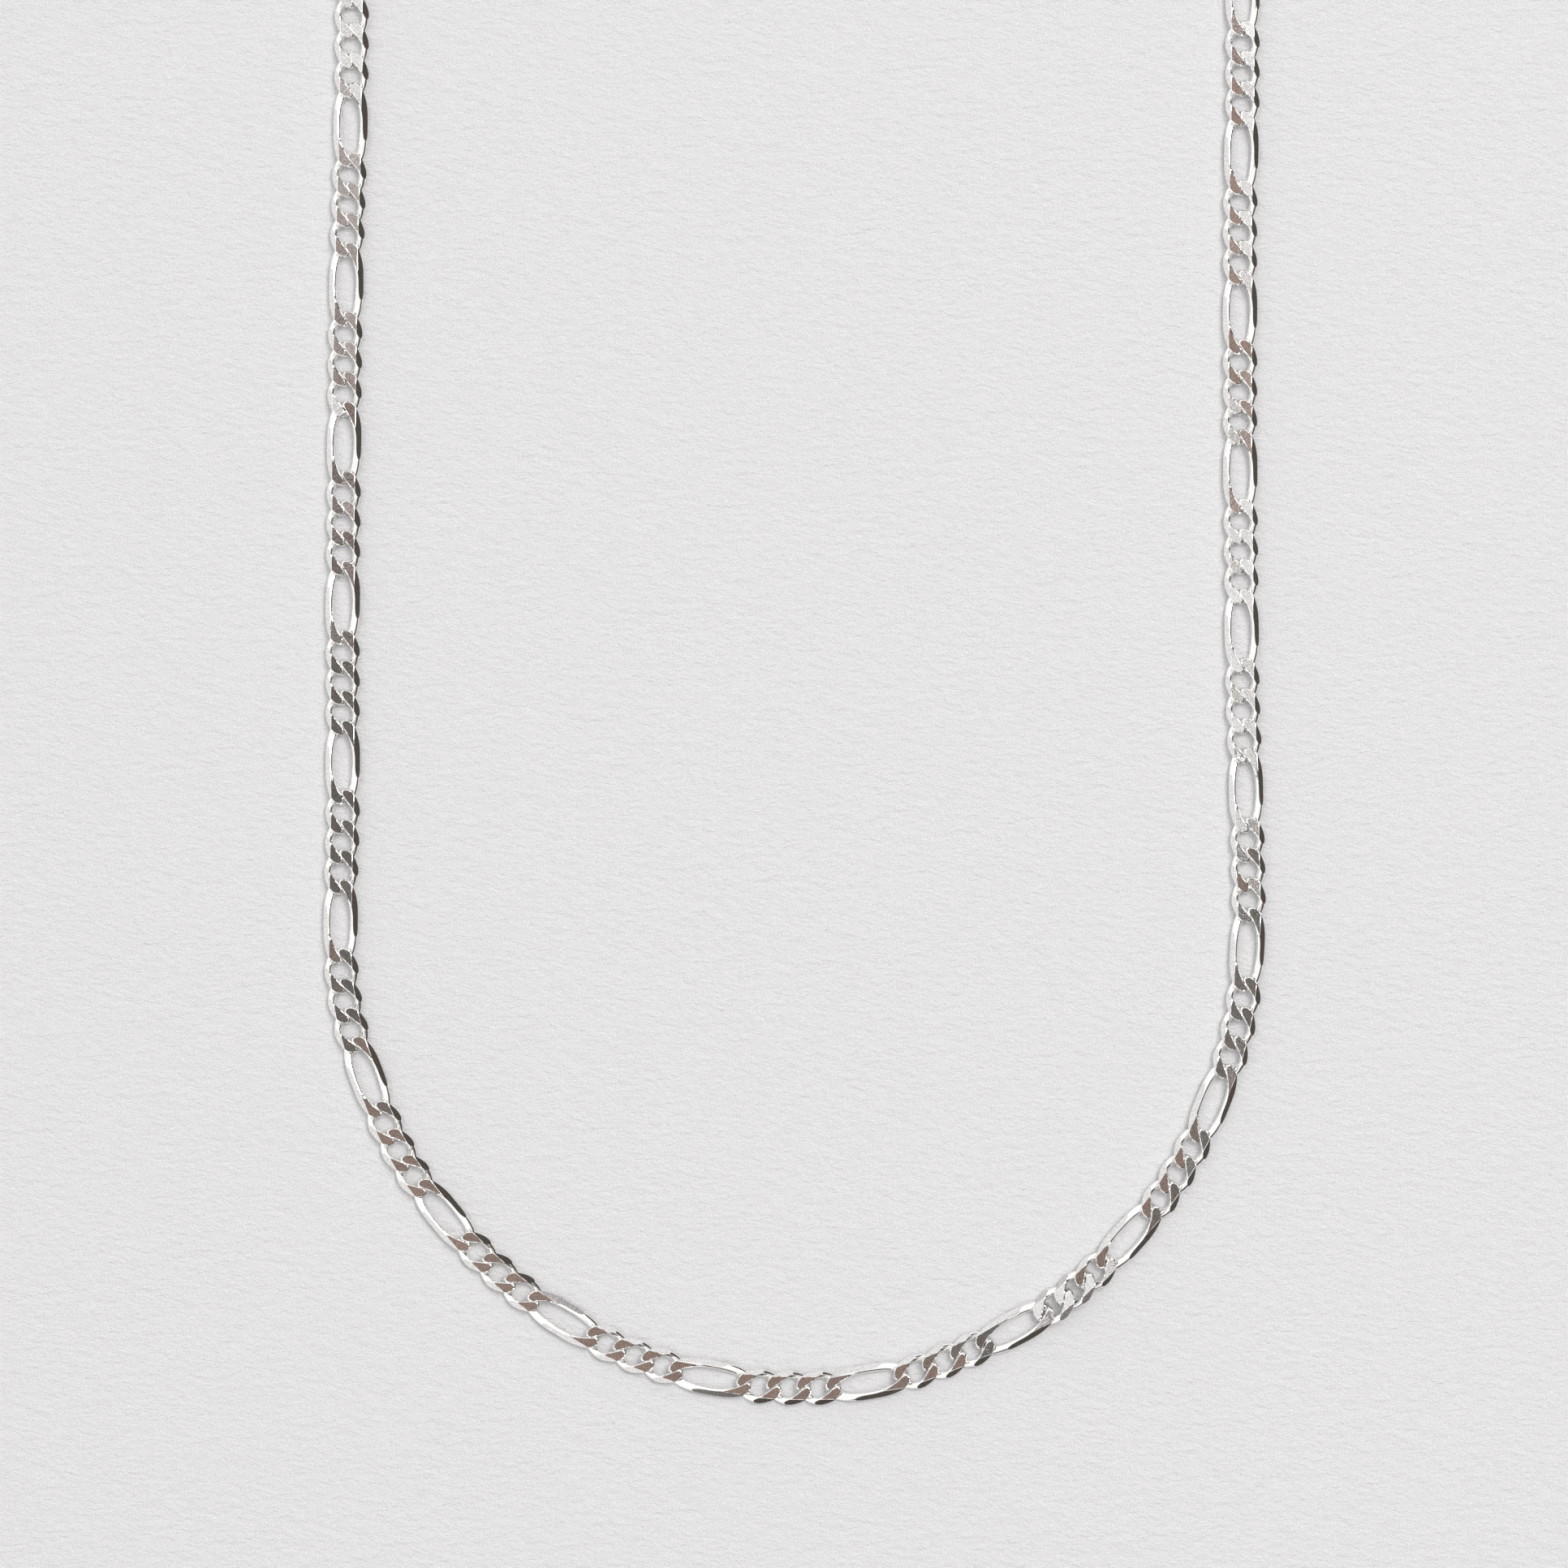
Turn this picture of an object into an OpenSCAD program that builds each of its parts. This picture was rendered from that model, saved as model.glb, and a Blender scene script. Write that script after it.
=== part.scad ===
// Flat ground figaro neck chain: three short twisted links and one long one, over and over,
// laid out as a closed loop on a flat surface. Millimetres, Z up, origin under the loop's middle.

/* [Chain] */
// Length of the closed loop, clasp included
chain_length = 450; // [420:1:600]
// Width across a link
link_width = 3; // [2.8:0.05:3.2]
// Thickness of the chain after both faces are ground flat
link_thick = 0.84; // [0.78:0.02:0.96]
// Step from one short link to the next
short_step = 2.64; // [2.5:0.02:2.8]
// Step of one long link
long_step = 6.08; // [5.4:0.02:7]
// Short links between two long ones
short_count = 3; // [2:1:4]
// Thickness of the wire that the links are bent from
wire_d = 0.73; // [0.64:0.01:0.76]
// Air left between two wires that hook or cross
wire_gap = 0.13; // [0.11:0.01:0.2]

/* [Clasp] */
// Diameter of the clasp's barrel at its middle
clasp_width = 2.9; // [2.7:0.05:3.1]
// Diameter of the barrel at its two ends
clasp_end = 1.9; // [1.6:0.05:2.4]
// Depth of the flat that the barrel rests on
clasp_flat = 0.1; // [0.05:0.05:0.3]
// Length of the clasp's barrel between its two eyes
clasp_body = 6; // [5:0.1:8]
// Hole in each eye of the clasp
eye_hole = 2.4; // [2.3:0.05:2.8]
// Thickness of the wire around each eye
eye_wire = 0.8; // [0.6:0.05:0.9]
// Clasp's place off the middle of the loop, which sets where the long links fall
clasp_shift = -1.8; // [-3:0.1:3]

/* [Rings] */
// Diameter of a jump ring, measured to the middle of its wire
ring_d = 2.8; // [2.7:0.05:3.2]
// Thickness of the wire of a jump ring
ring_wire = 0.66; // [0.5:0.02:0.7]
// Lean of a jump ring from lying flat, in degrees
ring_lean = 55; // [50:1:65]

/* [Loop] */
// Straight chain on each side of the clasp before the loop turns
straight_run = 4; // [3:0.5:8]
// Length over which the chain climbs from the surface to the clasp
climb_run = 14; // [10:1:20]
// Length taken up right of the front's middle, where one repeat of links lies pushed together
slack = 1.25; // [0:0.05:1.3]

/* [Hidden] */

// Middle line of the loop's front, down the left side and up the right, chosen by hand
ROUTE = [
    [-38, 69], [-38.1, 57.9], [-38.4, 47.9], [-38.6, 37.9], [-38.7, 26.8], [-38.8, 15.8], [-38.8, 5.7],
    [-38.8, -3.4], [-39, -11.1], [-38.7, -18.7], [-36.7, -25.8], [-33.7, -32.6], [-29.6, -38.3], [-24.8, -43.2],
    [-19.2, -47.3], [-12.3, -50.6], [-4.9, -52.6], [2, -53.1], [8.8, -52.5], [15.9, -50], [22.5, -46.7],
    [28.1, -42.2], [33, -36.7], [36.9, -30], [39.7, -22.5], [40.8, -14.9], [40.8, -7.5], [40.6, 0.4],
    [40.3, 8.4], [40.2, 18.3], [40.1, 29.2], [40.1, 40.1], [40.1, 50.1], [40.3, 60], [40.3, 69]
];

// A quarter of each link's bend: share of its half width, of its half length and of its rise
SHORT_BEND = [[1, 0, 0], [0.86, 0.55, 1.09], [0.4, 1, 0.91]];
LONG_BEND = [[1, 0.42, 0.3], [0.92, 0.78, 1], [0.4, 1, 0.91]];
// The wire's six-sided section: shares of its half width and half height
WIRE_SECTION = [[1, 0], [0.5, 1], [-0.5, 1], [-1, 0], [-0.5, -1], [0.5, -1]];
// Steps that a rounded stretch of the route is cut into
ROUND_STEPS = 8;
CORNER_STEPS = 40;

silver = [0.78, 0.76, 0.73];

// Sizes of one link
half_width = (link_width - wire_d) / 2;
rise = wire_d / 2 + wire_gap;
hook = wire_d + wire_gap;
repeat_step = short_count * short_step + long_step;
repeat_links = short_count + 1;

// Sizes of the clasp group, from the middle of one jump ring
ring_r = ring_d / 2;
ring_inside = ring_r - ring_wire / 2;
ring_height = ring_r * sin(ring_lean) + ring_wire / 2;
chain_seat = ring_inside - wire_gap - wire_d / 2 + hook / 2;
eye_seat = ring_inside - 2 * wire_gap + eye_hole / 2;
eye_pitch = clasp_body + eye_hole;
clasp_height = clasp_width / 2 - clasp_flat;
group_length = 2 * (chain_seat + eye_seat) + eye_pitch;

// Sizes of the loop
repeats = floor((chain_length - group_length) / repeat_step);
link_count = repeats * repeat_links;
strand_length = repeats * repeat_step - slack;
// Second long link past the middle: the slack is taken up over the repeat that follows it
slack_link = (floor(repeats / 2) + 2) * repeat_links - 1;
left_x = ROUTE[0].x;
right_x = ROUTE[len(ROUTE) - 1].x;
front_top = ROUTE[0].y;
top_run = group_length + 2 * straight_run;
corner_r = (right_x - left_x - top_run) / 2;

function unit(v) = v / norm(v);
function clamp(value, limit) = max(-limit, min(limit, value));
function lowest(points) = min([for (p = points) p.y]);
function leftmost(points) = min([for (p = points) p.x]);
function rightmost(points) = max([for (p = points) p.x]);

// Running length along a row of points
function lengths(points, i = 1, found = [0]) =
    i == len(points) ? found
    : lengths(points, i + 1, concat(found, [found[i - 1] + norm(points[i] - points[i - 1])]));

// Smooth curve through the chosen points, leaving each end straight down the side
function slope(k) =
    k == 0 ? [0, -1]
    : k == len(ROUTE) - 1 ? [0, 1]
    : (ROUTE[k + 1] - ROUTE[k - 1]) / (norm(ROUTE[k + 1] - ROUTE[k]) + norm(ROUTE[k] - ROUTE[k - 1]));
function between(k, u) =
    let (span = norm(ROUTE[k + 1] - ROUTE[k]))
    ROUTE[k] * (2 * pow(u, 3) - 3 * pow(u, 2) + 1)
    + slope(k) * span * (pow(u, 3) - 2 * pow(u, 2) + u)
    + ROUTE[k + 1] * (3 * pow(u, 2) - 2 * pow(u, 3))
    + slope(k + 1) * span * (pow(u, 3) - pow(u, 2));
front_curve = concat(
    [for (k = [0 : len(ROUTE) - 2], i = [0 : ROUND_STEPS - 1]) between(k, i / ROUND_STEPS)],
    [ROUTE[len(ROUTE) - 1]]
);
front_lengths = lengths(front_curve);
front_length = front_lengths[len(front_lengths) - 1];

// The sides run on behind the front until the loop has its length
side_run = (strand_length + group_length - front_length - top_run - PI * corner_r) / 2;
corner_y = front_top + side_run;
top_y = corner_y + corner_r;

function corner(middle_x, from, to) = [
    for (i = [1 : CORNER_STEPS])
        let (angle = from + (to - from) * i / CORNER_STEPS)
        [middle_x + corner_r * cos(angle), corner_y + corner_r * sin(angle)]
];
clasp_middle_x = (left_x + right_x) / 2 + clasp_shift;
left_end_x = clasp_middle_x - group_length / 2;
right_end_x = clasp_middle_x + group_length / 2;
loop_path = concat(
    [[left_end_x, top_y], [left_x + corner_r, top_y]],
    corner(left_x + corner_r, 90, 180),
    front_curve,
    [[right_x, corner_y]],
    corner(right_x - corner_r, 0, 90),
    [[right_end_x, top_y]]
);
loop_lengths = lengths(loop_path);
x_along = [for (i = [0 : len(loop_path) - 1]) [loop_lengths[i], loop_path[i].x]];
y_along = [for (i = [0 : len(loop_path) - 1]) [loop_lengths[i], loop_path[i].y]];

// The origin is under the middle of the whole loop
middle_x = (leftmost(loop_path) + rightmost(loop_path)) / 2;
middle_y = (lowest(loop_path) - link_width / 2 + top_y + max(clasp_width, link_width) / 2) / 2;

// Height of the chain's middle: flat on the surface, climbing to the jump rings at both ends
function climb(to_end) =
    link_thick / 2 + (ring_height - link_thick / 2) * pow(max(0, 1 - to_end / climb_run), 2);
function place(s) = [
    lookup(s, x_along) - middle_x,
    lookup(s, y_along) - middle_y,
    climb(min(s, strand_length - s))
];

// Where link number k starts along the chain, with the slack taken up over one repeat
function start_of(k) =
    floor(k / repeat_links) * repeat_step + (k % repeat_links) * short_step
    - slack * max(0, min(1, (k - slack_link) / repeat_links));
function is_long(k) = k % repeat_links == short_count;

// Whole bend of a link from its quarter: its right wire climbs at the far end, its left at the near
function whole_bend(quarter) =
    let (
        last = len(quarter) - 1,
        first = quarter[0][1] == 0 ? 1 : 0
    )
    concat(
        quarter,
        [for (i = [last : -1 : 0]) [-quarter[i][0], quarter[i][1], -quarter[i][2]]],
        [for (i = [first : last]) [-quarter[i][0], -quarter[i][1], quarter[i][2]]],
        [for (i = [last : -1 : first]) [quarter[i][0], -quarter[i][1], -quarter[i][2]]]
    );

// Both faces are ground flat and the four edges are cut back at 45 degrees
function ground(p) =
    let (z = clamp(p.z, link_thick / 2))
    [clamp(p.x, link_width / 2 - abs(z)), p.y, z];

// Corners of the wire's section at point i of a bend
function wire_corners(bend, i) =
    let (
        n = len(bend),
        along = unit(unit(bend[i] - bend[(i + n - 1) % n]) + unit(bend[(i + 1) % n] - bend[i])),
        side = unit(cross(along, [0, 0, 1])),
        half_height = wire_d / 2 / norm([along.x, along.y])
    )
    [for (c = WIRE_SECTION) ground(bend[i] + side * c.x * wire_d / 2 + [0, 0, c.y * half_height])];

// Corners of a whole link in its own frame, travel along Y
function link_corners(quarter, step) =
    let (
        reach = (step + hook) / 2,
        bend = [for (q = whole_bend(quarter)) [q[0] * half_width, q[1] * reach, q[2] * rise]]
    )
    [for (i = [0 : len(bend) - 1]) each wire_corners(bend, i)];

short_corners = link_corners(SHORT_BEND, short_step);
long_corners = link_corners(LONG_BEND, long_step);

// Corners of link number k where it lies on the route
function laid_link(k) =
    let (
        from = place(start_of(k)),
        to = place(start_of(k + 1)),
        ahead = unit(to - from),
        right = unit(cross(ahead, [0, 0, 1])),
        up = cross(right, ahead),
        middle = (from + to) / 2
    )
    [for (p = is_long(k) ? long_corners : short_corners)
        let (q = middle + right * p.x + ahead * p.y + up * p.z)
        [q.x, q.y, max(0, q.z)]];

// Triangles of one closed ring of sections, whose corners start at number base
function ring_faces(base, count) =
    let (sides = len(WIRE_SECTION))
    [for (i = [0 : count / sides - 1], j = [0 : sides - 1])
        let (
            here = base + i * sides,
            next = base + ((i + 1) * sides) % count,
            k = (j + 1) % sides
        )
        each [[here + j, next + k, next + j], [here + j, here + k, next + k]]];

// Number of the first corner of each link in a strand
function bases(first, last, k = 0, found = [0]) =
    first + k > last ? found
    : bases(first, last, k + 1,
        concat(found, [found[k] + len(is_long(first + k) ? long_corners : short_corners)]));

module strand(first, last) {
    corner_base = bases(first, last);
    color(silver)
    polyhedron(
        points = [for (k = [first : last]) each laid_link(k)],
        faces = [for (k = [first : last])
            let (i = k - first)
            each ring_faces(corner_base[i], corner_base[i + 1] - corner_base[i])],
        convexity = 10
    );
}

module left_strand() {
    strand(0, floor(link_count / 2) - 1);
}

module right_strand() {
    strand(floor(link_count / 2), link_count - 1);
}

// One jump ring, leaning on the surface; lean is positive when its near side is down
module jump_ring(x, lean) {
    color(silver)
    translate([x - middle_x, top_y - middle_y, ring_height])
    rotate([lean, 0, 0])
    rotate_extrude($fn = 48)
    translate([ring_r, 0])
    circle(d = ring_wire, $fn = 24);
}

clasp_ring_x = left_end_x + chain_seat;
end_ring_x = right_end_x - chain_seat;

module clasp_ring() {
    jump_ring(clasp_ring_x, ring_lean);
}

module end_ring() {
    jump_ring(end_ring_x, -ring_lean);
}

// Round eye at one end of the clasp
module clasp_eye(x) {
    translate([x, 0, ring_height])
    rotate_extrude($fn = 48)
    translate([(eye_hole + eye_wire) / 2, 0])
    circle(d = eye_wire, $fn = 24);
}

// Barrel between the eyes: thickest at its middle, flat below, its ends cut back round the eyes
module clasp_barrel() {
    length = clasp_body + eye_wire;
    taper = (clasp_width - clasp_end) / 2;
    curve_r = (pow(length / 2, 2) + pow(taper, 2)) / (2 * taper);
    difference() {
        intersection() {
            rotate([0, 90, 0])
            rotate_extrude($fn = 48)
            intersection() {
                translate([0, -length / 2]) square([clasp_width / 2, length]);
                translate([clasp_width / 2 - curve_r, 0]) circle(r = curve_r, $fn = 240);
            }
            translate([-length, -clasp_width, -clasp_height])
            cube([2 * length, 2 * clasp_width, 2 * clasp_width]);
        }
        for (side = [-1, 1])
            translate([side * eye_pitch / 2, 0, -clasp_width])
            cylinder(d = eye_hole + eye_wire, h = 2 * clasp_width, $fn = 48);
    }
}

module clasp() {
    color(silver)
    translate([clasp_middle_x - middle_x, top_y - middle_y, 0]) {
        translate([0, 0, clasp_height]) clasp_barrel();
        clasp_eye(-eye_pitch / 2);
        clasp_eye(eye_pitch / 2);
    }
}

left_strand();
right_strand();
clasp_ring();
clasp();
end_ring();
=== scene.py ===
import math
import random

import bmesh
import bpy
from bpy.props import FloatProperty, FloatVectorProperty, IntProperty, PointerProperty
from mathutils import Matrix, Vector


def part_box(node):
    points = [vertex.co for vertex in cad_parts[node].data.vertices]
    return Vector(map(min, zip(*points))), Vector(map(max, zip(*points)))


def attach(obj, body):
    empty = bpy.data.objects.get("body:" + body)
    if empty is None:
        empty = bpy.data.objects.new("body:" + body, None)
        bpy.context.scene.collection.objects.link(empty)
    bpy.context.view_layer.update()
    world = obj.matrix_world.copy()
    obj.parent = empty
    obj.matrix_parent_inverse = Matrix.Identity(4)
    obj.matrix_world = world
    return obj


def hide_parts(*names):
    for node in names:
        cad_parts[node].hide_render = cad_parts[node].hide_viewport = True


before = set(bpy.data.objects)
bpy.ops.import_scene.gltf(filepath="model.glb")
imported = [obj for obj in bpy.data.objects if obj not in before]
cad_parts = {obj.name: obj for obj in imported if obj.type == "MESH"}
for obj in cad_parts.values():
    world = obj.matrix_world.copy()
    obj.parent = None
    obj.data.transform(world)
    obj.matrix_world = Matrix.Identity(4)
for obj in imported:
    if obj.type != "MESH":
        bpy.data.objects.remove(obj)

bl_info = {
    "name": "Figaro chain",
    "version": (1, 0, 0),
    "blender": (4, 5, 0),
    "location": "View3D > Sidebar > Chain",
    "description": "Dresses a ground flat figaro chain on its packed frame",
    "category": "Object",
}

MM = 0.001
# The camera stands straight over this point of the floor, in metres, as in the photograph
CAMERA_OVER = (-0.000943352, -0.0338191)
CAMERA_HEIGHT = 0.45
# Width of the floor that the camera sees, and the width of its film in millimetres
FIELD = 0.138
FILM = 36.0
# Half the width of the paper
FLOOR_REACH = 1.5
# The light: where it hangs, how wide it is and its power in watts
KEY_PLACE = (1.15, 0.95, 2.22)
KEY_SIZE = 1.5
KEY_POWER = 37.0

# How the ground faces lean, from the clasp down the left side and up the right: last link of each
# stretch, lean of the face at a link's start and of the one at its end, in degrees towards X and Y
STRETCHES = [
    (22, (0, 0.9), (0, 0.9)), (23, (0, 1), (0, -0.8)), (29, (-0.7, -0.3), (0.4, -0.8)),
    (30, (0, 0), (-3.4, 0.8)), (34, (0.3, 0.9), (0.2, -0.4)), (38, (0.2, -0.2), (0, -0.5)),
    (43, (0, 0), (0, 0)), (46, (0.2, 0.6), (0.3, 0.3)), (48, (0.7, 0.3), (0.8, 0)),
    (50, (0.6, 0.2), (0.4, 0.2)), (65, (0, 0.6), (0, 0.3)), (66, (0, 0.6), (0.7, 1.0)),
    (67, (2.6, 0.7), (0, 0)), (69, (0, 0), (0, 0)), (70, (0, 0.6), (1.5, -4.2)),
    (75, (-1.8, -0.8), (0, 0.4)), (80, (-0.5, -0.3), (-0.5, -0.3)), (81, (-1.8, 0.6), (-0.3, -0.8)),
    (90, (0.8, 0.2), (0.9, 0.2)), (91, (-1.2, 0.8), (-1.2, 0.8)), (93, (0.6, -1), (-1, 0.7)),
    (94, (-1, 0.2), (-1, 0.4)), (124, (-1, -0.2), (1.8, 1.4)),
]
# Links that lie rolled: number from the clasp, roll, nod and turn in degrees
ROLLED = {67: (-1.5, 1, 0), 68: (-14, 4, 5), 69: (-13, 0, 3), 70: (-1.5, 0, 0)}
# Links with a dented ground face: number from the clasp, with 1 for the face ahead of the link's
# middle, by the heading that link_places reads, and 0 for the one behind it
DENTED = {67: 1, 84: 1}
# How much each link strays by chance, in degrees: roll, nod, turn and lean of each ground face
STRAY_ROLL = 0.35
STRAY_NOD = 0.3
STRAY_TURN = 0.8
STRAY_LEAN = 0.35
CHANCE_SEED = 7

# Steps round a link of each kind, and the length that only a long link has
SECTIONS = {"short": 52, "long": 84}
LONG_FROM = 5.5 * MM
# Middle of a ground face: how far in from the link's end, and how far to its side
SEAT_IN = 0.5 * MM
SEAT_SIDE = 0.6 * MM
# How far a face's plane reaches past the middle line at its own end, and stays off it at the other
PAST_MIDDLE = 0.35 * MM
# Rings of corners along half the barrel, and faces round it
BARREL_RINGS = 16
BARREL_SIDES = 64
# Turned lines of the barrel: places from its middle, half width at the floor and at the top, depth
LINE_PLACES = (1.55 * MM, 1.85 * MM)
LINE_FLOOR = 0.04 * MM
LINE_TOP = 0.08 * MM
LINE_DEPTH = 0.06 * MM
BARREL_ROUND = 0.08 * MM
# The split in a jump ring: its width and place as angles, and the rounding of its ends
SPLIT = math.radians(2.4)
SPLIT_TURN = math.radians(-70)
SPLIT_ROUND = 0.04 * MM

# Corners closer than this are one, edges shorter than a sliver are dissolved, and a cut takes a
# corner as lying on it within the last of these
SAME_POINT = 1e-7
SLIVER = 2e-6
CUT_CLOSE = 1e-8
# Cosine above which a face lies along a plane
ALONG = 0.99995
# The same for a face whose corners were merged, and how far off the plane they may be
NEARLY_ALONG = 0.9997
MERGED_OFF = 5e-6
# The angles that count as an edge
RIM_ANGLE = math.radians(12)
CREASE_ANGLE = math.radians(5)
SHARP_ANGLE = math.radians(35)
CORNER_ANGLE = math.radians(60)

# What the studio holds above the chain. Each round patch has its middle to the right and to the
# back, its radius and the half width of its rim, all as shares of the height above the chain
BROWN_DISC = (0.0, 0.0, 0.19, 0.015)
PALE_GAPS = ((0.165, 0.035, 0.088, 0.01), (-0.085, 0.26, 0.12, 0.01))
PALE_PATCH = (-0.11, 0.085, 0.035, 0.025)
GREY_PATCHES = ((-0.085, -0.005, 0.055, 0.015), (0.08, -0.055, 0.052, 0.015))
PALE = (1.0, 1.0, 1.0, 1)
# Darkest and lightest tone of the dark side, the brown disc and the grey patches
DARK_TONES = ((0.045, 0.038, 0.033, 1), (0.16, 0.138, 0.122, 1))
BROWN_TONES = ((0.035, 0.024, 0.02, 1), (0.61, 0.45, 0.385, 1))
GREY_TONES = ((0.02, 0.019, 0.018, 1), (0.34, 0.33, 0.315, 1))
# How much of the pale patch shows, how steep a mirrored ray has to be to count as it is, and how
# bright the studio is
PATCH_SHARE = 0.4
STEEP_FROM = 0.3
STUDIO_STRENGTH = 1.06


class ChainSettings(bpy.types.PropertyGroup):
    """Sizes and colours of the chain"""

    link_width: FloatProperty(
        name="Link width", description="Width across a link before its edges are cut",
        default=3.03 * MM, unit="LENGTH")
    face_width: FloatProperty(
        name="Face width", description="Width of the ground faces, between the chain's cut edges",
        default=1.98 * MM, unit="LENGTH")
    link_thick: FloatProperty(
        name="Thickness", description="Thickness between the two ground faces",
        default=0.84 * MM, unit="LENGTH")
    wire: FloatProperty(
        name="Wire", description="Thickness of the links' wire",
        default=0.70 * MM, unit="LENGTH")
    spread: FloatProperty(
        name="Spread", description="Share that the wire is pressed wider by at a link's corners",
        default=0.3)
    short_reach: FloatProperty(
        name="Short reach", description="Half length of a short link along the middle of its wire",
        default=1.70 * MM, unit="LENGTH")
    long_reach: FloatProperty(
        name="Long reach", description="Half length of a long link along the middle of its wire",
        default=3.42 * MM, unit="LENGTH")
    twist: FloatProperty(
        name="Twist", description="Lean of a link's ends from lying flat",
        default=math.radians(50), subtype="ANGLE")
    twist_power: FloatProperty(
        name="Twist spread", description="How the twist grows along a short link: 1 is evenly",
        default=1.15)
    edge_slope: FloatProperty(
        name="Edge slope", description="Lean of the faces cut along the chain's edges",
        default=math.radians(37), subtype="ANGLE")
    edge_round: FloatProperty(
        name="Edge", description="Rounding left along the ground edges",
        default=0.065 * MM, unit="LENGTH")
    wire_sides: IntProperty(
        name="Wire sides", description="Faces around the wire", default=18)
    ring_radius: FloatProperty(
        name="Ring radius", description="Radius of a jump ring, to the middle of its wire",
        default=1.4 * MM, unit="LENGTH")
    ring_wire: FloatProperty(
        name="Ring wire", description="Thickness of a jump ring's wire",
        default=0.66 * MM, unit="LENGTH")
    ring_lean: FloatProperty(
        name="Ring lean", description="Lean of a jump ring from lying flat",
        default=math.radians(55), subtype="ANGLE")
    ring_height: FloatProperty(
        name="Ring height", description="Height of the jump rings' and the eyes' middles",
        default=1.477 * MM, unit="LENGTH")
    eye_radius: FloatProperty(
        name="Eye radius", description="Radius of a clasp's eye, to the middle of its wire",
        default=1.6 * MM, unit="LENGTH")
    eye_wire: FloatProperty(
        name="Eye wire", description="Thickness of the wire round a clasp's eye",
        default=0.8 * MM, unit="LENGTH")
    barrel_length: FloatProperty(
        name="Barrel", description="Length of the clasp's barrel",
        default=5.8 * MM, unit="LENGTH")
    barrel_thick: FloatProperty(
        name="Barrel thickness", description="Diameter of the barrel at its middle",
        default=2.9 * MM, unit="LENGTH")
    barrel_end: FloatProperty(
        name="Barrel end", description="Diameter of the barrel at its ends",
        default=1.93 * MM, unit="LENGTH")
    barrel_flat: FloatProperty(
        name="Barrel flat", description="Depth of the flat that the barrel rests on",
        default=0.1 * MM, unit="LENGTH")
    silver: FloatVectorProperty(
        name="Silver", description="Colour of the polished wire",
        default=(0.96, 0.955, 0.94), size=3, subtype="COLOR")
    ground_silver: FloatVectorProperty(
        name="Ground silver", description="Colour of the ground faces",
        default=(0.745, 0.735, 0.725), size=3, subtype="COLOR")
    paper: FloatVectorProperty(
        name="Paper", description="Colour of the floor",
        default=(0.79, 0.78, 0.786), size=3, subtype="COLOR")


def settings():
    """The sizes and colours in the open scene"""
    return bpy.context.scene.chain_settings


class Socket:
    """A node's output, or a number, that can be used in sums"""

    def __init__(self, graph, source):
        self.graph, self.source = graph, source

    def math(self, operation, *others):
        return self.graph.node("ShaderNodeMath", {"operation": operation}, self, *others)

    def __add__(self, other):
        return self.math("ADD", other)

    def __radd__(self, other):
        return self.graph.value(other).math("ADD", self)

    def __sub__(self, other):
        return self.math("SUBTRACT", other)

    def __rsub__(self, other):
        return self.graph.value(other).math("SUBTRACT", self)

    def __mul__(self, other):
        return self.math("MULTIPLY", other)

    def __rmul__(self, other):
        return self.graph.value(other).math("MULTIPLY", self)

    def __truediv__(self, other):
        return self.math("DIVIDE", other)

    def ramp(self, low, high):
        """0 below low, 1 above high, smooth between"""
        return self.graph.node(
            "ShaderNodeMapRange", {"interpolation_type": "SMOOTHSTEP"},
            self, low, high, 0.0, 1.0)


class Graph:
    """Node tree of a material or of the world"""

    def __init__(self, tree):
        self.tree = tree
        tree.nodes.clear()

    def value(self, number):
        """A number that can be used in sums"""
        return Socket(self, number)

    def node(self, kind, setup=None, *inputs, output=0, **named):
        """Adds a node with its settings, then its sockets by number or by name"""
        made = self.tree.nodes.new(kind)
        for name, value in (setup or {}).items():
            setattr(made, name, value)
        for number, value in list(enumerate(inputs)) + list(named.items()):
            if value is None:
                continue
            socket = made.inputs[number.replace("_", " ") if isinstance(number, str) else number]
            if isinstance(value, Socket) and isinstance(value.source, bpy.types.NodeSocket):
                self.tree.links.new(value.source, socket)
            else:
                socket.default_value = value.source if isinstance(value, Socket) else value
        return Socket(self, made.outputs[output] if made.outputs else made)

    def mix(self, share, first, second):
        """The first colour at share 0, the second at share 1"""
        made = self.tree.nodes.new("ShaderNodeMix")
        made.data_type = "RGBA"
        made.clamp_factor = True
        # The node's colours are its inputs 6 and 7, after those for numbers and vectors
        for name, value in ((0, share), (6, first), (7, second)):
            if isinstance(value, Socket):
                self.tree.links.new(value.source, made.inputs[name])
            else:
                made.inputs[name].default_value = value
        return Socket(self, made.outputs[2])


def rgba(colour, share=1.0):
    """A colour made darker or lighter by a share"""
    return (colour[0] * share, colour[1] * share, colour[2] * share, 1.0)


def new_material(name):
    """A new material and its empty node tree"""
    material = bpy.data.materials.new(name)
    material.use_nodes = True
    return material, Graph(material.node_tree)


def polished_silver():
    """Round sides of the wire: bright, with faint draw marks"""
    material, g = new_material("polished_silver")
    place = g.node("ShaderNodeTexCoord", output="Object")
    fine = g.node("ShaderNodeTexNoise", Vector=place, Scale=9000.0, Detail=2.0)
    cloud = g.node("ShaderNodeTexNoise", Vector=place, Scale=900.0, Detail=3.0)
    silver = settings().silver
    colour = g.mix(cloud.ramp(0.35, 0.75), rgba(silver), rgba(silver, 0.93))
    rough = 0.07 + 0.06 * fine
    bump = g.node("ShaderNodeBump", Strength=0.05, Distance=0.02 * MM, Height=fine)
    shader = g.node(
        "ShaderNodeBsdfPrincipled",
        Base_Color=colour, Metallic=1.0, Roughness=rough, Normal=bump)
    g.node("ShaderNodeOutputMaterial", Surface=shader)
    return material


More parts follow.
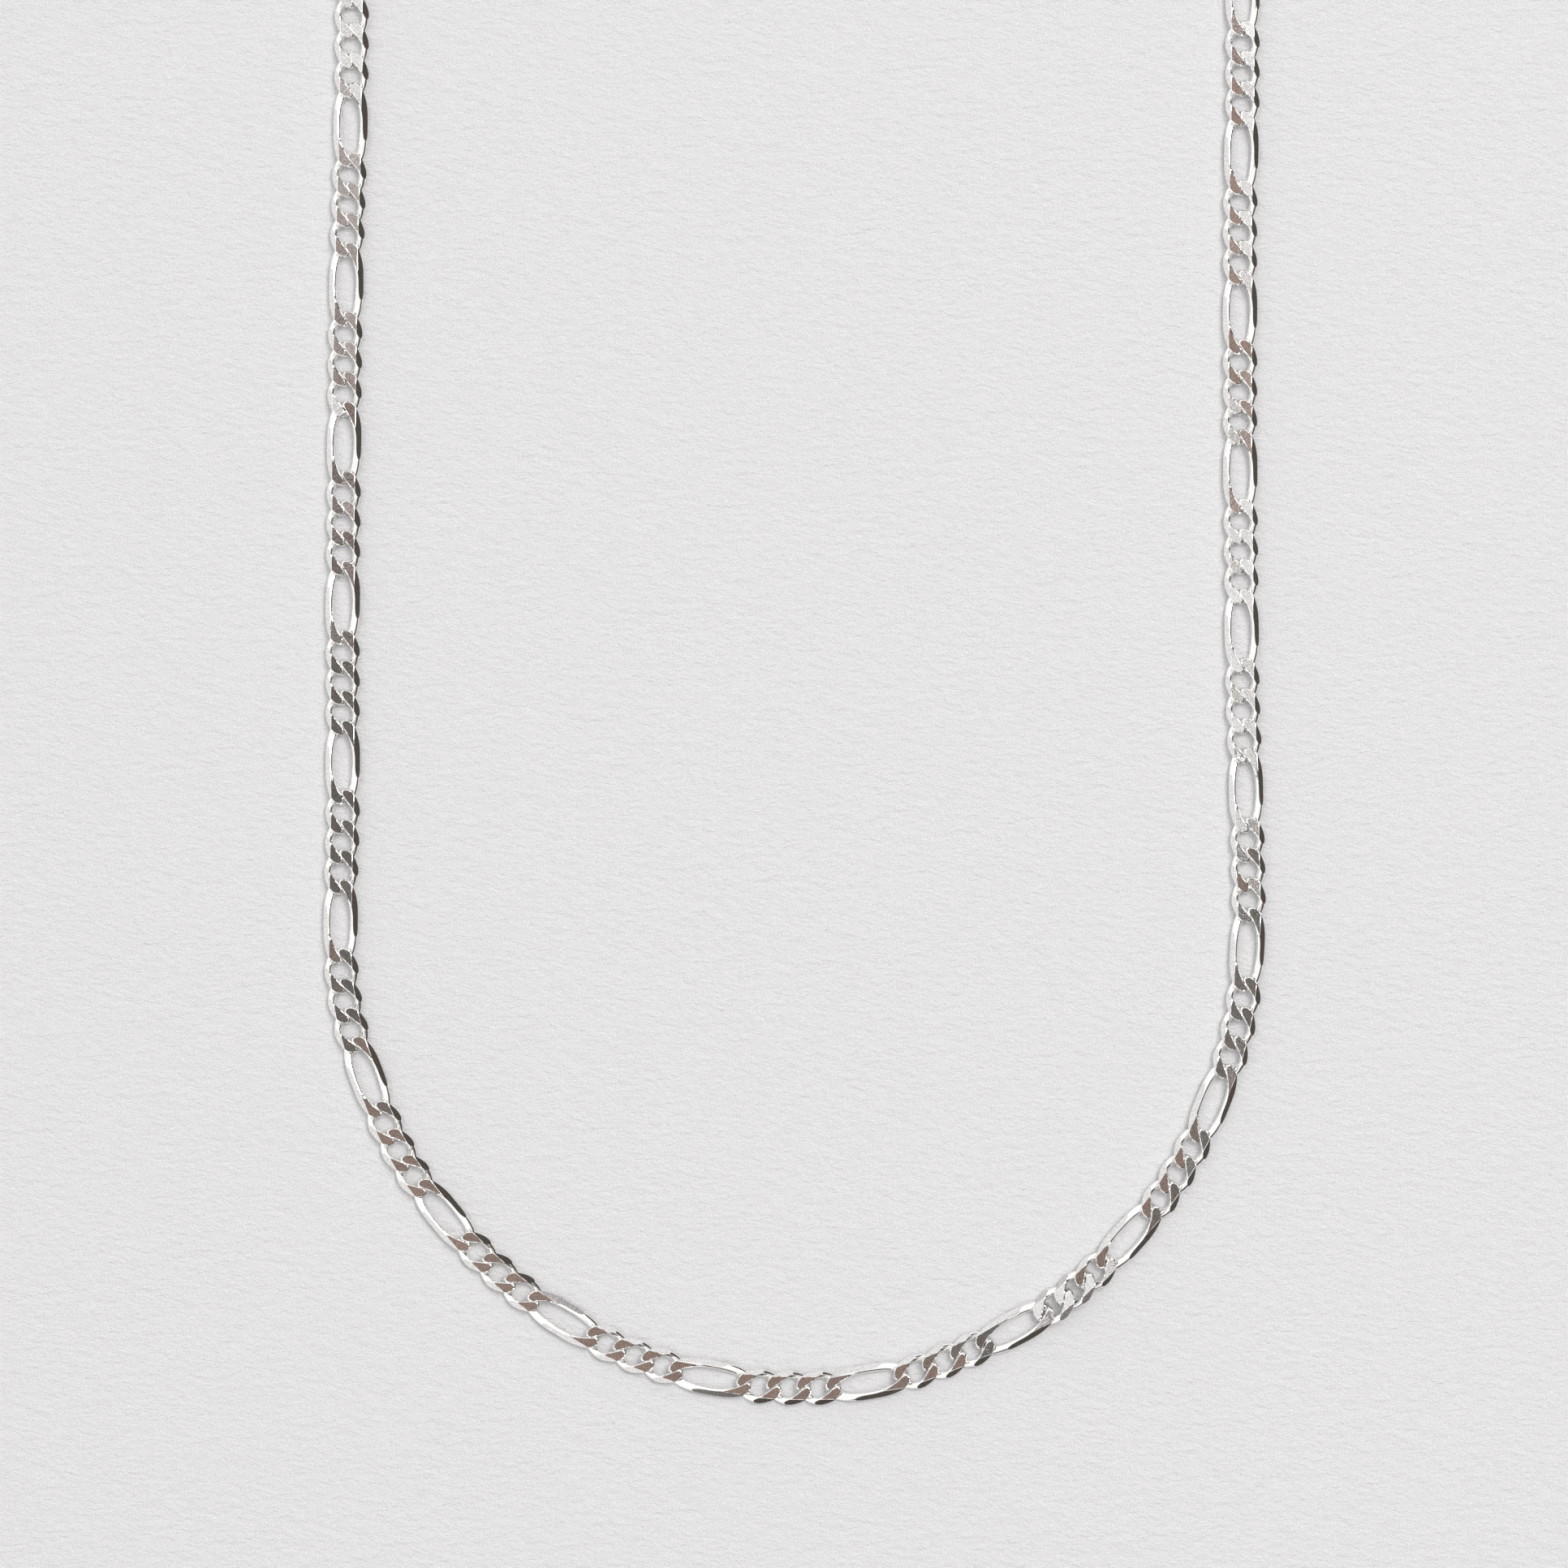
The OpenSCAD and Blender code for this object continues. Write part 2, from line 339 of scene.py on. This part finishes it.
def ground_silver():
    """Ground faces: lapped to a fine grain, with lighter and darker specks of colour along it that
    paint the grain's glints
    """
    material, g = new_material("ground_silver")
    place = g.node("ShaderNodeTexCoord", output="Object")
    grain_and_glints = g.node("ShaderNodeTexNoise", Vector=place, Scale=6500.0, Detail=1.5, Roughness=0.6)
    cloud = g.node("ShaderNodeTexNoise", Vector=place, Scale=1400.0, Detail=3.0)
    shade = grain_and_glints.ramp(0.34, 0.66) * 0.8 + cloud.ramp(0.3, 0.7) * 0.2
    silver = settings().ground_silver
    # Lighter and darker specks of colour along the grain: painted glints, besides the grain's own
    # bumps
    colour = g.mix(shade, rgba(silver, 0.86), rgba(silver, 1.07))
    rough = 0.04 + 0.05 * grain_and_glints
    bump = g.node("ShaderNodeBump", Strength=0.22, Distance=0.02 * MM, Height=grain_and_glints)
    shader = g.node(
        "ShaderNodeBsdfPrincipled",
        Base_Color=colour, Metallic=1.0, Roughness=rough, Normal=bump)
    g.node("ShaderNodeOutputMaterial", Surface=shader)
    return material


def dented_silver_painted_shade():
    """A ground face that is knocked about: small dents that each mirror something else, with
    painted shade in their hollows and a painted highlight on their crowns
    """
    material, g = new_material("dented_silver_painted_shade")
    place = g.node("ShaderNodeTexCoord", output="Object")
    dents_and_shade = g.node("ShaderNodeTexNoise", Vector=place, Scale=2600.0, Detail=3.0, Roughness=0.6)
    silver = settings().ground_silver
    # Painted shade: darker colour in the dents' hollows, and a painted highlight where they stand
    # high
    colour = g.mix(dents_and_shade.ramp(0.35, 0.65), rgba(silver, 0.6), rgba(silver, 1.1))
    bump = g.node("ShaderNodeBump", Strength=0.5, Distance=0.12 * MM, Height=dents_and_shade)
    shader = g.node(
        "ShaderNodeBsdfPrincipled",
        Base_Color=colour, Metallic=1.0, Roughness=0.10, Normal=bump)
    g.node("ShaderNodeOutputMaterial", Surface=shader)
    return material


def paper():
    """Floor: pale paper with a faint sideways tooth"""
    material, g = new_material("paper")
    place = g.node("ShaderNodeTexCoord", output="Object")
    stretched = g.node(
        "ShaderNodeMapping", Vector=place, Rotation=(0.0, 0.0, 0.6), Scale=(0.5, 1.0, 1.0))
    tooth = g.node(
        "ShaderNodeTexNoise", Vector=stretched, Scale=1300.0, Detail=6.0, Roughness=0.72)
    speck = g.node("ShaderNodeTexNoise", Vector=place, Scale=11000.0, Detail=1.0)
    pale = settings().paper
    colour = g.mix(speck.ramp(0.3, 0.7), rgba(pale, 0.87), rgba(pale, 1.13))
    bump = g.node("ShaderNodeBump", Strength=1.0, Distance=0.5 * MM, Height=tooth)
    shader = g.node(
        "ShaderNodeBsdfPrincipled",
        Base_Color=colour, Roughness=0.9, Specular_IOR_Level=0.2, Normal=bump)
    g.node("ShaderNodeOutputMaterial", Surface=shader)
    return material


def link_bend(angle, reach):
    """Point on the middle of a link's wire, by the angle round it: an oval twisted about Y"""
    s = settings()
    c, d = math.cos(angle), math.sin(angle)
    # What a long link is longer by goes into its sides, and its ends stay as round as a short one's
    y = s.short_reach * d + (reach - s.short_reach) * d * (15 - 10 * d ** 2 + 3 * d ** 4) / 8
    turn = s.twist * math.copysign(abs(y / reach) ** (s.twist_power * reach / s.short_reach), y)
    x = (s.link_width - s.wire) / 2 * c
    return Vector((x * math.cos(turn), y, x * math.sin(turn)))


def in_order(bm):
    """The same mesh made anew in an order set by its places alone, so that each run is alike"""
    corners = sorted(bm.verts, key=lambda v: v.co[:])
    number = {v: i for i, v in enumerate(corners)}
    rounds = []
    for f in bm.faces:
        around = [number[v] for v in f.verts]
        first = around.index(min(around))
        rounds.append(around[first:] + around[:first])
    made = bmesh.new()
    verts = [made.verts.new(v.co) for v in corners]
    for around in sorted(rounds):
        made.faces.new([verts[i] for i in around])
    bm.free()
    return made


def bent_link(reach, sections):
    """One link before grinding, in its own frame, with its length along Y"""
    s = settings()
    # Bent from a wide ring, whose wire is easy to tell apart by its angle
    ring = 10 * s.wire
    bm = bmesh.new()
    bmesh.ops.create_circle(
        bm, segments=s.wire_sides, radius=s.wire / 2,
        matrix=Matrix.Translation((ring, 0, 0)) @ Matrix.Rotation(math.pi / 2, 4, "X"))
    bmesh.ops.spin(
        bm, geom=bm.edges[:], cent=(0, 0, 0), axis=(0, 0, 1),
        angle=2 * math.pi, steps=sections, use_merge=True)
    bmesh.ops.remove_doubles(bm, verts=bm.verts[:], dist=SAME_POINT)
    bm = in_order(bm)
    step = 2 * math.pi / sections
    for v in bm.verts:
        angle = math.atan2(v.co.y, v.co.x)
        out, high = math.hypot(v.co.x, v.co.y) - ring, v.co.z
        out *= 1 + s.spread * math.sin(2 * angle) ** 2
        before, after = (link_bend(angle + side * step / 2, reach) for side in (-1, 1))
        ahead = (after - before).normalized()
        side = ahead.cross(Vector((0, 0, 1))).normalized()
        v.co = link_bend(angle, reach) + side * out + side.cross(ahead) * high
    bmesh.ops.recalc_face_normals(bm, faces=bm.faces[:])
    return bm


def cut_away(bm, faces, point, normal):
    """Grinds some faces back to a plane and closes the cut"""
    # Kept in order, not in sets, because the cut depends on the order of what it is given
    edges = dict.fromkeys(e for f in faces for e in f.edges)
    verts = dict.fromkeys(v for f in faces for v in f.verts)
    cut = bmesh.ops.bisect_plane(
        bm, geom=[*verts, *edges, *faces], dist=CUT_CLOSE,
        plane_co=point, plane_no=normal, clear_outer=True)
    rims = [e for e in cut["geom_cut"] if isinstance(e, bmesh.types.BMEdge)]
    bmesh.ops.holes_fill(bm, edges=rims, sides=0)


def ground_planes(reach, leans):
    """Planes that a link is ground to: the end and side that each reaches, a point, the way out"""
    s = settings()
    half_thick = s.link_thick / 2
    seat = reach - SEAT_IN
    planes = []
    for end, (lean_x, lean_y) in zip((-1, 1), leans):
        planes.append(((end, end), Vector((end * SEAT_SIDE, end * seat, half_thick)),
                       Vector((math.tan(lean_x), math.tan(lean_y), 1)).normalized()))
        planes.append(((end, -end), Vector((-end * SEAT_SIDE, end * seat, -half_thick)),
                       Vector((0, 0, -1))))
    tip = Vector((math.sin(s.edge_slope), 0, math.cos(s.edge_slope)))
    for i in (-1, 1):
        for k in (-1, 1):
            planes.append((None, Vector((i * s.face_width / 2, 0, k * half_thick)),
                           Vector((i * tip.x, 0, k * tip.z))))
    return planes


def within(face, part):
    """True for the faces that a plane reaches: one side, and past the middle line at its own end"""
    if part is None:
        return True
    end, side = part
    at = face.calc_center_median()
    return at.x * side > (-PAST_MIDDLE if at.y * end > 0 else PAST_MIDDLE)


def on_plane(face, planes, along=ALONG, off=SLIVER):
    """True for a face that was ground by one of the planes"""
    return any(
        face.normal.dot(normal) > along and abs((face.verts[0].co - point).dot(normal)) < off
        for _, point, normal in planes)


def rims_of(bm, planes, both):
    """Edges of the ground ends, or with both set those that they share with another ground face"""
    ends = {f for f in bm.faces if on_plane(f, [p for p in planes if p[0]])}
    flats = {f for f in bm.faces if on_plane(f, planes)}
    return [e for e in bm.edges
            if len(e.link_faces) == 2 and any(f in ends for f in e.link_faces)
            and all(f in flats for f in e.link_faces) == both
            and e.calc_face_angle(0) > RIM_ANGLE]


def drop_fins(bm):
    """Takes out faces that lie back to back on the same corners"""
    same = {}
    for f in bm.faces:
        same.setdefault(frozenset(f.verts), []).append(f)
    fins = [f for faces in same.values() if len(faces) > 1 for f in faces]
    bmesh.ops.delete(bm, geom=fins, context="FACES")


def grind_link(bm, planes, dented):
    """Cuts a bent link back to its planes, rounds the new edges and marks the ground faces"""
    s = settings()
    for part, point, normal in planes:
        cut_away(bm, [f for f in bm.faces if within(f, part)], point, normal)
    bmesh.ops.dissolve_degenerate(bm, edges=bm.edges[:], dist=SLIVER)
    close = dict.fromkeys(
        v for both in (False, True) for e in rims_of(bm, planes, both) for v in e.verts)
    bmesh.ops.remove_doubles(bm, verts=list(close), dist=0.2 * s.edge_round)
    # An edge between two ground faces is rounded less than one beside the round wire
    for both, share in ((False, 1), (True, 0.4)):
        bmesh.ops.bevel(
            bm, geom=rims_of(bm, planes, both), offset=share * s.edge_round, offset_type="OFFSET",
            segments=1, profile=0.5, affect="EDGES", material=-1, clamp_overlap=False)
    bmesh.ops.dissolve_degenerate(bm, edges=bm.edges[:], dist=SLIVER)
    bmesh.ops.recalc_face_normals(bm, faces=bm.faces[:])
    bmesh.ops.triangulate(bm, faces=[f for f in bm.faces if len(f.verts) > 4])
    drop_fins(bm)
    for f in bm.faces:
        f.smooth = True
        f.material_index = 1 if on_plane(f, planes, NEARLY_ALONG, MERGED_OFF) else 0
        if dented is not None and on_plane(
                f, planes[2 * dented:2 * dented + 1], NEARLY_ALONG, MERGED_OFF):
            f.material_index = 2
    for e in bm.edges:
        if len(e.link_faces) == 2:
            kinds = [f.material_index for f in e.link_faces]
            if kinds[0] != kinds[1] or kinds[0] and e.calc_face_angle(0) > CREASE_ANGLE:
                e.smooth = False


def loose_solids(bm):
    """Corners of each loose solid of a mesh"""
    solids, seen = [], set()
    for first in bm.verts:
        if first in seen:
            continue
        seen.add(first)
        corners, waiting = [], [first]
        while waiting:
            v = waiting.pop()
            corners.append(v.co.copy())
            for e in v.link_edges:
                other = e.other_vert(v)
                if other not in seen:
                    seen.add(other)
                    waiting.append(other)
        solids.append(corners)
    return solids


def link_places(node):
    """Middle, heading, climb and length of each link of a packed strand, read from its node"""
    bm = bmesh.new()
    bm.from_mesh(node.data)
    bmesh.ops.remove_doubles(bm, verts=bm.verts[:], dist=SAME_POINT)
    places = []
    for corners in loose_solids(bm):
        middle = sum(corners, Vector()) / len(corners)
        away = [p - middle for p in corners]
        xx, yy, xy = (sum(p[i] * p[j] for p in away) for i, j in ((0, 0), (1, 1), (0, 1)))
        heading = 0.5 * math.atan2(2 * xy, xx - yy)
        ahead = Vector((math.cos(heading), math.sin(heading), 0))
        along = [p.dot(ahead) for p in away]
        climb = sum(t * p.z for t, p in zip(along, away)) / sum(t * t for t in along)
        places.append((middle, ahead, climb, max(along) - min(along)))
    bm.free()
    return places


def join(bm_all, bm):
    """Moves a finished solid into the mesh of its piece"""
    mesh = bpy.data.meshes.new("solid")
    bm.to_mesh(mesh)
    bm.free()
    bm_all.from_mesh(mesh)
    bpy.data.meshes.remove(mesh)


def lay_link(bm_all, bm, place, roll, nod, turn):
    """Adds one ground link where it lies, resting on the paper at its lowest"""
    middle, ahead, climb, _ = place
    heading = math.atan2(ahead.y, ahead.x) - math.pi / 2 + turn
    bmesh.ops.transform(
        bm, verts=bm.verts[:], matrix=Matrix.Translation(middle)
        @ Matrix.Rotation(heading, 4, "Z")
        @ Matrix.Rotation(math.atan(climb) + nod, 4, "X")
        @ Matrix.Rotation(roll, 4, "Y"))
    lowest = min(v.co.z for v in bm.verts)
    if lowest < 0:
        bmesh.ops.translate(bm, verts=bm.verts[:], vec=(0, 0, -lowest))
    join(bm_all, bm)


def lie_of(number, places, i, chance):
    """Roll, nod and turn of a link, and the leans of its two ground faces, in radians"""
    strays = (STRAY_ROLL, STRAY_NOD, STRAY_TURN)
    lie = [a + chance.gauss(0, stray) for a, stray in zip(ROLLED.get(number, (0, 0, 0)), strays)]
    ahead = places[i][1]
    travel = places[min(i + 1, len(places) - 1)][0] - places[max(i - 1, 0)][0]
    pair = next(leans for last, *leans in STRETCHES if number <= last)
    if travel.dot(ahead) < 0:
        pair.reverse()
    leans = []
    for x, y in pair:
        lean = Vector((x + chance.gauss(0, STRAY_LEAN), y + chance.gauss(0, STRAY_LEAN), 0))
        leans.append((math.radians(lean.dot(Vector((ahead.y, -ahead.x, 0)))),
                      math.radians(lean.dot(ahead))))
    return [math.radians(a) for a in lie], leans


def new_piece(name, bm, materials):
    """An object in the scene from a finished mesh"""
    mesh = bpy.data.meshes.new(name)
    bm.to_mesh(mesh)
    bm.free()
    for material in materials:
        mesh.materials.append(material)
    piece = bpy.data.objects.new(name, mesh)
    bpy.context.scene.collection.objects.link(piece)
    return piece


def shared(name, make):
    """A material by its name, made when it is first asked for"""
    return bpy.data.materials.get(name) or make()


class CHAIN_OT_strands(bpy.types.Operator):
    """Builds the two strands of ground links"""
    bl_idname = "chain.strands"
    bl_label = "Strands"

    def execute(self, context):
        reaches = {"short": settings().short_reach, "long": settings().long_reach}
        bent = {kind: bent_link(reach, SECTIONS[kind]) for kind, reach in reaches.items()}
        materials = [shared("polished_silver", polished_silver),
                     shared("ground_silver", ground_silver),
                     shared("dented_silver_painted_shade", dented_silver_painted_shade)]
        chance = random.Random(CHANCE_SEED)
        number = 0
        for name in ("left_strand", "right_strand"):
            bm_all = bmesh.new()
            places = link_places(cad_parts[name])
            for i, place in enumerate(places):
                kind = "long" if place[3] > LONG_FROM else "short"
                lie, leans = lie_of(number, places, i, chance)
                link = bent[kind].copy()
                grind_link(link, ground_planes(reaches[kind], leans), DENTED.get(number))
                lay_link(bm_all, link, place, *lie)
                number += 1
            piece = new_piece(name + "_links", bm_all, materials)
            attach(piece, "root")
            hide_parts(name)
        for bm in bent.values():
            bm.free()
        return {"FINISHED"}


def wire_ring(radius, wire, gap=0.0, steps=72, sides=28):
    """A ring of round wire lying flat about the origin, whole or with a gap between its ends"""
    bm = bmesh.new()
    bmesh.ops.create_circle(
        bm, segments=sides, radius=wire / 2,
        matrix=Matrix.Rotation(gap / 2, 4, "Z") @ Matrix.Translation((radius, 0, 0))
        @ Matrix.Rotation(math.pi / 2, 4, "X"))
    bmesh.ops.spin(
        bm, geom=bm.edges[:], cent=(0, 0, 0), axis=(0, 0, 1),
        angle=2 * math.pi - gap, steps=steps, use_merge=gap == 0)
    bmesh.ops.remove_doubles(bm, verts=bm.verts[:], dist=SAME_POINT)
    bm = in_order(bm)
    if gap:
        bmesh.ops.holes_fill(bm, edges=[e for e in bm.edges if e.is_boundary], sides=0)
        rims = [e for e in bm.edges if e.calc_face_angle(0) > CORNER_ANGLE]
        bmesh.ops.bevel(
            bm, geom=rims, offset=SPLIT_ROUND, segments=2, profile=0.5, affect="EDGES")
    return bm


def barrel():
    """The clasp's barrel along X about the origin: swelled, with two turned lines at each end"""
    s = settings()
    half, taper = s.barrel_length / 2, (s.barrel_thick - s.barrel_end) / 2
    curve = (half ** 2 + taper ** 2) / (2 * taper)
    lines = [side * at for side in (-1, 1) for at in LINE_PLACES]
    stops = sorted(
        [half * (i / BARREL_RINGS - 1) for i in range(2 * BARREL_RINGS + 1)]
        + [line + d for line in lines for d in (-LINE_TOP, -LINE_FLOOR, LINE_FLOOR, LINE_TOP)])
    bm = bmesh.new()
    row = []
    for x in stops:
        out = s.barrel_thick / 2 - curve + math.sqrt(curve ** 2 - x ** 2)
        if any(abs(x - line) < (LINE_FLOOR + LINE_TOP) / 2 for line in lines):
            out -= LINE_DEPTH
        row.append(bm.verts.new((x, 0, out)))
    edges = [bm.edges.new(pair) for pair in zip(row, row[1:])]
    bmesh.ops.spin(bm, geom=row + edges, cent=(0, 0, 0), axis=(1, 0, 0),
                   angle=2 * math.pi, steps=BARREL_SIDES, use_merge=True)
    bmesh.ops.remove_doubles(bm, verts=bm.verts[:], dist=SAME_POINT)
    bm = in_order(bm)
    bmesh.ops.holes_fill(bm, edges=[e for e in bm.edges if e.is_boundary], sides=0)
    underside = Vector((0, 0, s.barrel_flat - s.barrel_thick / 2))
    cut_away(bm, bm.faces[:], underside, Vector((0, 0, -1)))
    rims = [e for e in bm.edges if e.calc_face_angle(0) > CORNER_ANGLE]
    bmesh.ops.bevel(bm, geom=rims, offset=BARREL_ROUND, segments=2, profile=0.5, affect="EDGES")
    return bm


def add_part(bm_all, bm, matrix):
    """Puts one solid of a piece in its place, smooth but for its sharp edges"""
    bmesh.ops.recalc_face_normals(bm, faces=bm.faces[:])
    bmesh.ops.triangulate(bm, faces=[f for f in bm.faces if len(f.verts) > 4])
    for f in bm.faces:
        f.smooth = True
    for e in bm.edges:
        e.smooth = e.calc_face_angle(0) < SHARP_ANGLE
    bmesh.ops.transform(bm, verts=bm.verts[:], matrix=matrix)
    join(bm_all, bm)


class CHAIN_OT_findings(bpy.types.Operator):
    """Builds the clasp and the two split jump rings"""
    bl_idname = "chain.findings"
    bl_label = "Clasp and rings"

    def execute(self, context):
        s = settings()
        for name, lean in (("clasp_ring", s.ring_lean), ("end_ring", -s.ring_lean)):
            low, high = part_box(name)
            bm_all = bmesh.new()
            add_part(
                bm_all, wire_ring(s.ring_radius, s.ring_wire, gap=SPLIT),
                Matrix.Translation(((low.x + high.x) / 2, (low.y + high.y) / 2, s.ring_height))
                @ Matrix.Rotation(lean, 4, "X") @ Matrix.Rotation(SPLIT_TURN, 4, "Z"))
            self.finish_piece(bm_all, name)
        low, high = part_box("clasp")
        middle = Matrix.Translation(((low.x + high.x) / 2, (low.y + high.y) / 2, 0))
        bm_all = bmesh.new()
        add_part(bm_all, barrel(), middle @ Matrix.Translation(
            (0, 0, s.barrel_thick / 2 - s.barrel_flat)))
        reach = (high.x - low.x - s.eye_wire) / 2 - s.eye_radius
        for side in (-1, 1):
            add_part(bm_all, wire_ring(s.eye_radius, s.eye_wire),
                     middle @ Matrix.Translation((side * reach, 0, s.ring_height)))
        self.finish_piece(bm_all, "clasp")
        return {"FINISHED"}

    def finish_piece(self, bm_all, name):
        """Makes a piece of the mesh, which rides the frame and replaces its node"""
        piece = new_piece(name + "_dressed", bm_all, [shared("polished_silver", polished_silver)])
        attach(piece, "root")
        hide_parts(name)


def studio_world():
    """Soft studio: pale all round, brown above the chain, dark low down to the right"""
    world = bpy.data.worlds.new("studio")
    world.use_nodes = True
    bpy.context.scene.world = world
    g = Graph(world.node_tree)
    towards = g.node("ShaderNodeTexCoord", output="Generated")
    parts = g.node("ShaderNodeSeparateXYZ", Vector=towards)
    x, y, z = (Socket(g, parts.source.node.outputs[i]) for i in range(3))
    high = z.math("MAXIMUM", STEEP_FROM)

    def near(to_x, to_y, radius, soft):
        """1 in a round patch overhead, 0 outside it"""
        across, along = x / high - to_x, y / high - to_y
        away = (across * across + along * along).math("SQRT")
        return 1.0 - away.ramp(radius - soft, radius + soft)

    low = 1.0 - z.ramp(0.54, 0.74)
    dark_side = (x * 0.92 - y * 0.38).ramp(0.08, 0.26)
    cloud = g.node("ShaderNodeTexNoise", Vector=towards, Scale=14.0, Detail=2.0)
    fleck = g.node("ShaderNodeTexNoise", Vector=towards, Scale=150.0, Detail=1.0)
    shade = (cloud * 0.35 + fleck * 0.65).ramp(0.38, 0.62)
    dark = g.mix(fleck.ramp(0.35, 0.65), *DARK_TONES)
    brown = g.mix(shade, *BROWN_TONES)
    grey = g.mix(shade, *GREY_TONES)
    gaps = near(*PALE_GAPS[0]) + near(*PALE_GAPS[1])
    colour = g.mix(low * dark_side, PALE, dark)
    colour = g.mix(near(*BROWN_DISC) * (1.0 - gaps.math("MINIMUM", 1.0)), colour, brown)
    colour = g.mix(near(*PALE_PATCH) * PATCH_SHARE, colour, PALE)
    colour = g.mix(near(*GREY_PATCHES[0]) + near(*GREY_PATCHES[1]), colour, grey)
    back = g.node("ShaderNodeBackground", Color=colour, Strength=STUDIO_STRENGTH)
    g.node("ShaderNodeOutputWorld", Surface=back)


def key_light(aim):
    """One wide soft light from the back right"""
    data = bpy.data.lights.new("key", "AREA")
    data.shape, data.size, data.energy = "DISK", KEY_SIZE, KEY_POWER
    light = bpy.data.objects.new("key", data)
    light.location = KEY_PLACE
    light.rotation_euler = (Vector(aim) - Vector(KEY_PLACE)).to_track_quat("-Z", "Y").to_euler()
    bpy.context.scene.collection.objects.link(light)


class CHAIN_OT_stage(bpy.types.Operator):
    """Lays the paper and sets the light and the camera"""
    bl_idname = "chain.stage"
    bl_label = "Stage"

    def execute(self, context):
        bm = bmesh.new()
        bmesh.ops.create_grid(bm, x_segments=2, y_segments=2, size=FLOOR_REACH)
        floor = new_piece("floor", bm, [shared("paper", paper)])
        studio_world()
        key_light((*CAMERA_OVER, 0))
        data = bpy.data.cameras.new("camera")
        data.sensor_width = FILM
        data.lens = FILM * CAMERA_HEIGHT / FIELD
        camera = bpy.data.objects.new("camera", data)
        camera.location = (*CAMERA_OVER, CAMERA_HEIGHT)
        bpy.context.scene.collection.objects.link(camera)
        bpy.context.scene.camera = camera
        bpy.context.scene.view_settings.view_transform = "Standard"
        return {"FINISHED"}


class CHAIN_PT_panel(bpy.types.Panel):
    """Sizes and steps in the sidebar"""
    bl_idname = "CHAIN_PT_panel"
    bl_label = "Figaro chain"
    bl_space_type = "VIEW_3D"
    bl_region_type = "UI"
    bl_category = "Chain"

    def draw(self, context):
        for name in ChainSettings.__annotations__:
            self.layout.prop(settings(), name)
        for step in ("chain.strands", "chain.findings", "chain.stage"):
            self.layout.operator(step)


CLASSES = (ChainSettings, CHAIN_OT_strands, CHAIN_OT_findings, CHAIN_OT_stage, CHAIN_PT_panel)


def register():
    for c in CLASSES:
        bpy.utils.register_class(c)
    bpy.types.Scene.chain_settings = PointerProperty(type=ChainSettings)


def unregister():
    del bpy.types.Scene.chain_settings
    for c in reversed(CLASSES):
        bpy.utils.unregister_class(c)


def main():
    register()
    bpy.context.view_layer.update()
    bpy.ops.chain.strands()
    bpy.ops.chain.findings()
    bpy.ops.chain.stage()


if __name__ == "__main__":
    main()
